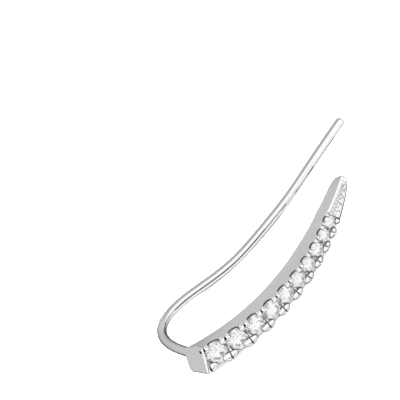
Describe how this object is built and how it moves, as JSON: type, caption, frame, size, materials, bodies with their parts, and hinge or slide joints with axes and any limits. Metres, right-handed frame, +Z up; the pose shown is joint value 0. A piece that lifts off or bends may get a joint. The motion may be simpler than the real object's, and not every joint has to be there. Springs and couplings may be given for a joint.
{
  "type": "ear climber earring",
  "caption": "Curved tapering bar of graduated round clear stones in split claws, with a beaded pointed tip and a bent ear wire behind the bar.",
  "frame": {"origin": "on the surface that the piece lies on, below the middle of its outline", "axes": "+X along the bar towards its tip, +Y from the stones towards the ear wire, +Z up, the piece lying on the outer side of its bend"},
  "size_m": [0.0252, 0.0118, 0.0041],
  "materials": {
    "polished_metal": "polished white metal, rhodium bright, satin on the side walls",
    "clear_stone": "clear brilliant-cut stone, polished facets"
  },
  "bodies": {
    "root": {"bar_and_ear_wire": "polished_metal", "stone_01": "clear_stone", "stone_02": "clear_stone", "stone_03": "clear_stone", "stone_04": "clear_stone", "stone_05": "clear_stone", "stone_06": "clear_stone", "stone_07": "clear_stone", "stone_08": "clear_stone", "stone_09": "clear_stone", "stone_10": "clear_stone"}
  },
  "joints": []
}
